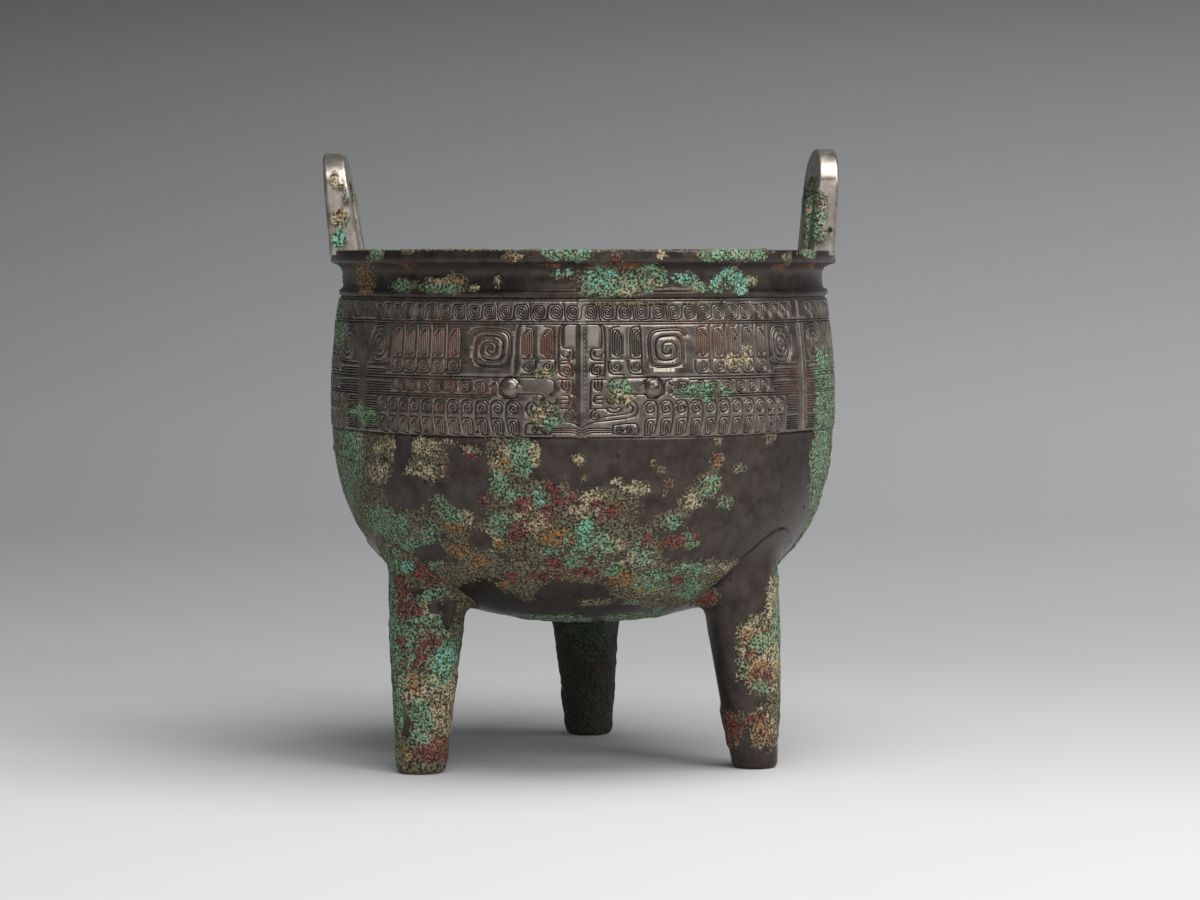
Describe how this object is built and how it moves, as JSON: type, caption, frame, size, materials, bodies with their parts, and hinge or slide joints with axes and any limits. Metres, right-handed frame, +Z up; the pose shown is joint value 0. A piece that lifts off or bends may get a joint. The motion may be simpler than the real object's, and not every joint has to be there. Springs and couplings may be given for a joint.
{
  "type": "three-legged ritual cauldron",
  "caption": "Lobed bronze ding: a deep hollow bowl on tapering round legs, with upright loop handles on its rim and a carved band of mask faces",
  "frame": {"origin": "on the ground, under the middle of the vessel's overall size", "axes": "+Z up through the bowl, -Y towards the front mask, -X and +X towards the two handles"},
  "size_m": [0.1758, 0.174, 0.2099],
  "materials": {
    "cast_bronze": "old cast tin bronze, dark grey-brown and satin, with green and red corrosion crusts and soil in the carving"
  },
  "bodies": {
    "root": {"ding_vessel": "cast_bronze"}
  },
  "joints": []
}
